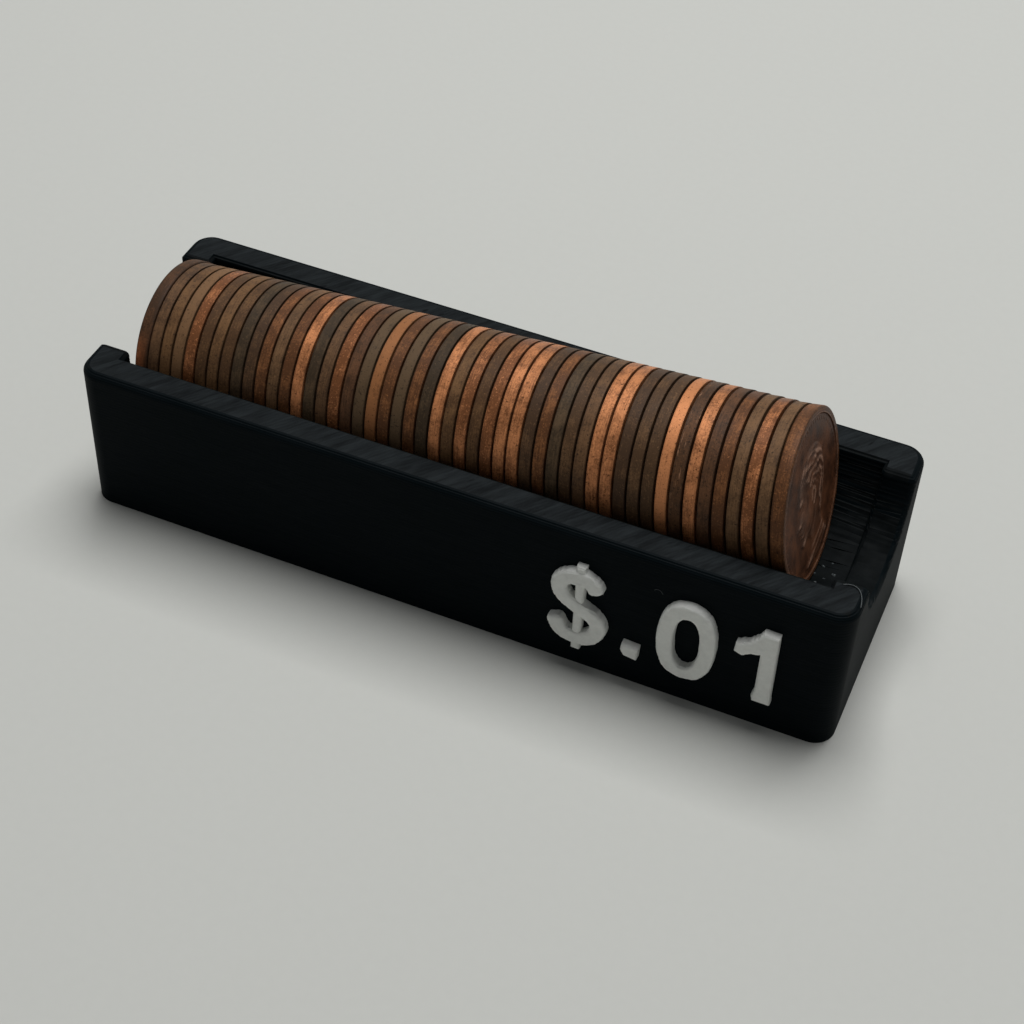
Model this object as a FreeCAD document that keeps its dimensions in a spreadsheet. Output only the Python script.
import FreeCAD, Part
import Sketcher
import math
import os

# Coin sorter: a printed tray whose inclined, round bottomed channel holds one roll of small copper coins
# Frame: +X runs along the tray to its high end, +Y to the back, +Z up
# Origin: the centre of the tray's footprint, on the surface that the tray stands on

doc = FreeCAD.newDocument("coin_sorter")

# Driving dimensions, in millimetres and degrees

SIZES = [
    # name, value, what it is
    ("coin_diameter", 19.05, "a small copper coin"),
    ("coin_thickness", 1.45, "a worn coin, over its rims"),
    ("coin_count", 50, "one roll"),
    ("coin_gap", 0.02, "air left where two coins lean together"),
    ("coin_sides", 32, "flats that stand for the round edge of an inner coin"),
    ("rim_width", 1.1, "raised rim on the face of an end coin"),
    ("rim_height", 0.12, "how far that rim stands above the field"),
    ("side_clearance", 0.575, "between a coin's edge and the channel wall"),
    ("seat_gap", 0.02, "between a coin and the channel floor under it"),
    ("low_end_gap", 0.05, "between the first coin and the low lip"),
    ("spare_room", 6.0, "free channel past the last coin, for a finger"),
    ("wall", 3.9, "tray wall at each side of the channel"),
    ("lip", 3.8, "thickness of the lip that closes each end"),
    ("lip_catch", 1.6, "how far a lip reaches in past the channel wall"),
    ("lip_step", 0.7, "how far a lip's notch stands above the channel floor"),
    ("floor_low", 4.5, "thickness under the channel at its low end"),
    ("slope", 4.6, "rise of the channel towards +X"),
    ("tray_height", 19.0, "from the bottom to the top faces"),
    ("corner_round", 2.4, "upright outer corners"),
    ("rim_round", 0.9, "outer top edges"),
    ("inner_break", 0.4, "two printed layers, sloped off the top edges round the channel"),
    ("stack_lean", 3.2, "how much the coins come to lean back along most of the stack"),
    ("fan_lean", 3.6, "further lean of the last coins, which fan out"),
    ("fan_start", 10.0, "power that keeps the fan to the last few coins"),
]

sheet = doc.addObject("Spreadsheet::Sheet", "sizes")
sheet.set("A1", "name")
sheet.set("B1", "value")
sheet.set("C1", "meaning")
for row, (alias, value, meaning) in enumerate(SIZES, start=2):
    sheet.set("A%d" % row, alias)
    sheet.set("B%d" % row, str(value))
    sheet.set("C%d" % row, meaning)
    sheet.setAlias("B%d" % row, alias)
doc.recompute()


def size(alias):
    return float(sheet.get(alias))


# Dimensions that follow from those, kept in the document too, so that every feature can be bound to them

FOLLOWING = [
    # name, expression, what it is
    ("coin_radius", "sizes.coin_diameter / 2", "half a coin"),
    ("channel_radius", "derived.coin_radius + sizes.side_clearance", "round floor of the channel"),
    ("notch_radius", "derived.channel_radius - sizes.lip_catch", "round floor of a lip's notch"),
    ("tray_width", "2 * (derived.channel_radius + sizes.wall)", "across the tray"),
    ("lean_room", "derived.coin_radius * tan((sizes.stack_lean + sizes.fan_lean) * 1 deg)",
     "length that the leaning coins add to the stack"),
    ("stack_length", "sizes.coin_count * (sizes.coin_thickness + sizes.coin_gap) + derived.lean_room",
     "the stack, along the channel"),
    ("inner_length", "derived.stack_length * cos(sizes.slope * 1 deg) + sizes.spare_room",
     "between the lips"),
    ("tray_length", "derived.inner_length + 2 * sizes.lip", "along the tray"),
    ("channel_rise", "derived.inner_length * tan(sizes.slope * 1 deg)", "of the channel floor, lip to lip"),
    ("floor_middle", "sizes.floor_low + derived.channel_rise / 2", "thickness under the channel's middle"),
    ("floor_high", "sizes.floor_low + derived.channel_rise", "thickness under the channel's high end"),
]

derived = doc.addObject("App::VarSet", "derived")
for name, expression, meaning in FOLLOWING:
    derived.addProperty("App::PropertyFloat", name, "Follows", meaning)
    derived.setExpression(name, expression)
doc.recompute()


# Helpers for sketches and edges, each on a body's own origin planes

START, END, CENTRE = range(1, 4)
X_AXIS, Y_AXIS = range(-1, -3, -1)
NEAR = 1e-4


def origin_plane(body, role):
    return next(item for item in body.Origin.OriginFeatures if item.Role == role)


def new_sketch(body, name, role):
    sketch = body.newObject("Sketcher::SketchObject", name)
    sketch.AttachmentSupport = [(origin_plane(body, role), "")]
    sketch.MapMode = "FlatFace"
    return sketch


def constrain(sketch, kind, *where, bound_to=None):
    """Add a constraint, and tie its value to an expression where one is given."""
    index = sketch.addConstraint(Sketcher.Constraint(kind, *where))
    if bound_to is not None:
        sketch.setExpression("Constraints[%d]" % index, bound_to)


def closed_outline(sketch, points):
    """Straight lines from each point to the next, joined at their ends."""
    count = len(points)
    for number, point in enumerate(points):
        sketch.addGeometry(Part.LineSegment(point, points[(number + 1) % count]))
    for number in range(count):
        constrain(sketch, "Coincident", number, END, (number + 1) % count, START)


def ease_edges(body, kind, name, test, amount, alias):
    """Round or slope off the edges that pass a test, by a named size."""
    base = body.Tip
    chosen = ["Edge%d" % number for number, edge in enumerate(base.Shape.Edges, start=1) if test(edge)]
    eased = body.newObject(kind, name)
    eased.Base = (base, chosen)
    eased.setExpression(amount, "sizes." + alias)
    doc.recompute()


# Tray: one printed block with rounded corners and outer top edges

def tray_block(body):
    half_length = derived.tray_length / 2
    half_width = derived.tray_width / 2
    outline = new_sketch(body, "outline", "XY_Plane")
    corners = [(-1, -1), (1, -1), (1, 1), (-1, 1)]
    closed_outline(outline, [FreeCAD.Vector(x * half_length, y * half_width, 0) for x, y in corners])
    for number in range(len(corners)):
        constrain(outline, "Horizontal" if number % 2 == 0 else "Vertical", number)
    constrain(outline, "Symmetric", 0, START, 2, START, X_AXIS, START)
    constrain(outline, "Distance", 0, 2 * half_length, bound_to="derived.tray_length")
    constrain(outline, "Distance", 1, 2 * half_width, bound_to="derived.tray_width")
    block = body.newObject("PartDesign::Pad", "block")
    block.Profile = outline
    block.setExpression("Length", "sizes.tray_height")
    doc.recompute()
    top = size("tray_height")
    ease_edges(body, "PartDesign::Fillet", "upright_corners",
               lambda edge: abs(edge.BoundBox.ZLength - top) < NEAR, "Radius", "corner_round")
    ease_edges(body, "PartDesign::Fillet", "outer_top_edges",
               lambda edge: edge.BoundBox.ZMin > top - NEAR, "Radius", "rim_round")


def trough_sketch(body, name, radius_name):
    """A round bottomed slot, open upwards, drawn from the level line that its lowest point touches."""
    radius = getattr(derived, radius_name)
    radius_size = "derived." + radius_name
    top = size("tray_height") + radius
    sketch = new_sketch(body, name, "YZ_Plane")
    circle = Part.Circle(FreeCAD.Vector(0, radius, 0), FreeCAD.Vector(0, 0, 1), radius)
    left = FreeCAD.Vector(-radius, radius, 0)
    right = FreeCAD.Vector(radius, radius, 0)
    left_top = FreeCAD.Vector(-radius, top, 0)
    right_top = FreeCAD.Vector(radius, top, 0)
    sketch.addGeometry(Part.ArcOfCircle(circle, math.pi, 2 * math.pi))
    sketch.addGeometry(Part.LineSegment(right, right_top))
    sketch.addGeometry(Part.LineSegment(right_top, left_top))
    sketch.addGeometry(Part.LineSegment(left_top, left))
    constrain(sketch, "Tangent", 0, END, 1, START)
    constrain(sketch, "Coincident", 1, END, 2, START)
    constrain(sketch, "Coincident", 2, END, 3, START)
    constrain(sketch, "Tangent", 3, END, 0, START)
    constrain(sketch, "Vertical", 1)
    constrain(sketch, "Horizontal", 2)
    constrain(sketch, "PointOnObject", 0, CENTRE, Y_AXIS)
    constrain(sketch, "Radius", 0, radius, bound_to=radius_size)
    constrain(sketch, "DistanceY", X_AXIS, START, 0, CENTRE, radius, bound_to=radius_size)
    constrain(sketch, "DistanceY", X_AXIS, START, 1, END, top, bound_to="sizes.tray_height + " + radius_size)
    return sketch


def cut(body, name, sketch, towards_high, length=None, face=None):
    """Cut a sketch out of the body, over a length or as far as a plane."""
    before = body.Tip.Shape.Volume
    pocket = body.newObject("PartDesign::Pocket", name)
    pocket.Profile = sketch
    pocket.Reversed = towards_high
    if face is not None:
        pocket.Type = "UpToFace"
        pocket.UpToFace = (face, "")
    else:
        pocket.setExpression("Length", length)
    doc.recompute()
    removed = before - pocket.Shape.Volume
    print(name, "cuts", round(removed, 1), "mm3")
    if removed <= 0:
        raise RuntimeError(name + " cuts nothing")


def lip_face(body, name, place):
    """Upright plane across the tray, where a lip faces the channel."""
    plane = body.newObject("PartDesign::Plane", name)
    plane.AttachmentSupport = [(origin_plane(body, "YZ_Plane"), "")]
    plane.MapMode = "FlatFace"
    plane.setExpression("AttachmentOffset.Base.z", place)
    return plane


def tray_channel(body):
    """The inclined channel, cut both ways from its middle as far as the two lips."""
    section = trough_sketch(body, "channel_section", "channel_radius")
    section.setExpression("AttachmentOffset.Base.y", "derived.floor_middle")
    section.AttachmentOffset.Rotation.Axis = FreeCAD.Vector(1, 0, 0)
    section.setExpression("AttachmentOffset.Rotation.Angle", "-sizes.slope")
    low_face = lip_face(body, "low_lip_face", "-derived.inner_length / 2")
    high_face = lip_face(body, "high_lip_face", "derived.inner_length / 2")
    doc.recompute()
    cut(body, "channel_to_low_lip", section, False, face=low_face)
    cut(body, "channel_to_high_lip", section, True, face=high_face)
    top = size("tray_height")
    reach = derived.channel_radius + NEAR
    ease_edges(body, "PartDesign::Chamfer", "channel_top_edges",
               lambda edge: edge.BoundBox.ZMin > top - NEAR and abs(edge.CenterOfMass.y) < reach,
               "Size", "inner_break")


def tray_notches(body):
    """A round bottomed notch out through each lip, so that a finger can reach the last coin."""
    low = trough_sketch(body, "low_notch_section", "notch_radius")
    low.setExpression("AttachmentOffset.Base.z", "-derived.inner_length / 2")
    low.setExpression("AttachmentOffset.Base.y", "sizes.floor_low + sizes.lip_step")
    cut(body, "low_notch", low, False, length="2 * sizes.lip")
    high = trough_sketch(body, "high_notch_section", "notch_radius")
    high.setExpression("AttachmentOffset.Base.z", "derived.inner_length / 2")
    high.setExpression("AttachmentOffset.Base.y", "derived.floor_high + sizes.lip_step")
    cut(body, "high_notch", high, True, length="2 * sizes.lip")


def make_tray():
    body = doc.addObject("PartDesign::Body", "tray")
    body.Label = "tray"
    tray_block(body)
    tray_channel(body)
    tray_notches(body)
    return body


# Coins: every one leans a little further back than the one before it

def lean_in_channel(number):
    """Lean of a coin from square to the channel, in radians."""
    share = number / max(size("coin_count") - 1, 1)
    return math.radians(size("stack_lean") * share + size("fan_lean") * share ** size("fan_start"))


def coin_places():
    """Centre and lean of each coin, from the low end up, so that each rests on the floor and its neighbour."""
    slope = math.radians(size("slope"))
    radius = derived.coin_radius
    half = size("coin_thickness") / 2
    low_end = -derived.inner_length / 2
    places = []
    x = low_end + size("low_end_gap") + radius * math.sin(slope) + half * math.cos(slope)
    for number in range(int(size("coin_count"))):
        lean = lean_in_channel(number)
        if number > 0:
            before = lean_in_channel(number - 1)
            step = half / math.cos(lean) + half / math.cos(before)
            step += radius * (math.tan(lean) - math.tan(before)) + size("coin_gap")
            x += step * math.cos(slope)
        tilt = slope + lean
        floor = size("floor_low") + (x - low_end) * math.tan(slope)
        to_edge = radius * (math.cos(tilt) + math.tan(slope) * math.sin(tilt))
        to_corner = half * abs(math.sin(tilt) - math.tan(slope) * math.cos(tilt))
        places.append((FreeCAD.Vector(x, 0, floor + size("seat_gap") + to_edge + to_corner), tilt))
    return places


def standing(centre, tilt, half):
    """Placement of a coin drawn flat from z = 0, stood up on its edge and leant back."""
    turn = FreeCAD.Rotation(FreeCAD.Vector(0, 1, 0), 90 - math.degrees(tilt))
    return FreeCAD.Placement(centre + turn.multVec(FreeCAD.Vector(0, 0, -half)), turn)


def inner_coin(name):
    """Only the edge of an inner coin shows, so it is a plain disc with flats for its round edge."""
    coin = doc.addObject("Part::Prism", name)
    coin.setExpression("Polygon", "sizes.coin_sides")
    coin.setExpression("Circumradius", "derived.coin_radius")
    coin.setExpression("Height", "sizes.coin_thickness")
    return coin


def end_coin(name):
    """An end coin shows a face, so it is turned to its true section, with a rim round a lower field."""
    body = doc.addObject("PartDesign::Body", name)
    section = new_sketch(body, name + "_section", "XZ_Plane")
    field = size("rim_height")
    thick = size("coin_thickness")
    edge = derived.coin_radius
    inside = edge - size("rim_width")
    across = [0, inside - field, inside, edge, edge, inside, inside - field, 0]
    up = [field, field, 0, 0, thick, thick, thick - field, thick - field]
    closed_outline(section, [FreeCAD.Vector(x, y, 0) for x, y in zip(across, up)])
    to_rim = "derived.coin_radius - sizes.rim_width"
    across_sizes = [None, to_rim + " - sizes.rim_height", to_rim, "derived.coin_radius"]
    across_sizes += across_sizes[::-1]
    up_sizes = ["sizes.rim_height", "sizes.rim_height", None, None]
    up_sizes += ["sizes.coin_thickness"] * 2 + ["sizes.coin_thickness - sizes.rim_height"] * 2
    for number, (x, y) in enumerate(zip(across, up)):
        pin(section, number, "DistanceX", Y_AXIS, x, across_sizes[number])
        pin(section, number, "DistanceY", X_AXIS, y, up_sizes[number])
    turned = body.newObject("PartDesign::Revolution", name + "_turned")
    turned.Profile = section
    turned.ReferenceAxis = (section, ["V_Axis"])
    return body


def pin(section, number, kind, axis, value, bound_to):
    """Hold a corner of the section at its distance from an axis, or on that axis where none is given."""
    if bound_to is None:
        constrain(section, "PointOnObject", number, START, axis)
    else:
        constrain(section, kind, X_AXIS, START, number, START, value, bound_to=bound_to)


def make_coins():
    coins = []
    places = coin_places()
    for number, (centre, tilt) in enumerate(places, start=1):
        name = "coin_%02d" % number
        at_an_end = number in (1, len(places))
        coin = end_coin(name) if at_an_end else inner_coin(name)
        coin.Label = name
        coin.Placement = standing(centre, tilt, size("coin_thickness") / 2)
        coins.append(coin)
    return coins


# Build, test every object, then write one file for each piece

def check(pieces):
    for item in doc.Objects:
        faults = [state for state in item.State if state in ("Invalid", "Error")]
        if faults:
            raise RuntimeError("%s is %s" % (item.Name, ", ".join(faults)))
    for piece in pieces:
        if piece.Shape.isNull() or not piece.Shape.isValid():
            raise RuntimeError("%s has no sound shape" % piece.Label)


pieces = [make_tray()] + make_coins()
doc.recompute()
check(pieces)
os.makedirs("parts", exist_ok=True)
for piece in pieces:
    piece.Shape.exportStep("parts/%s.step" % piece.Label)
tray = pieces[0]
bounds = tray.Shape.optimalBoundingBox(False)
print("tray", round(bounds.XLength, 2), round(bounds.YLength, 2), round(bounds.ZLength, 2),
      "mm, volume", round(tray.Shape.Volume / 1000, 2), "cm3, solids", len(tray.Shape.Solids))
print("coins", len(pieces) - 1, "first", pieces[1].Shape.CenterOfGravity, "last", pieces[-1].Shape.CenterOfGravity)
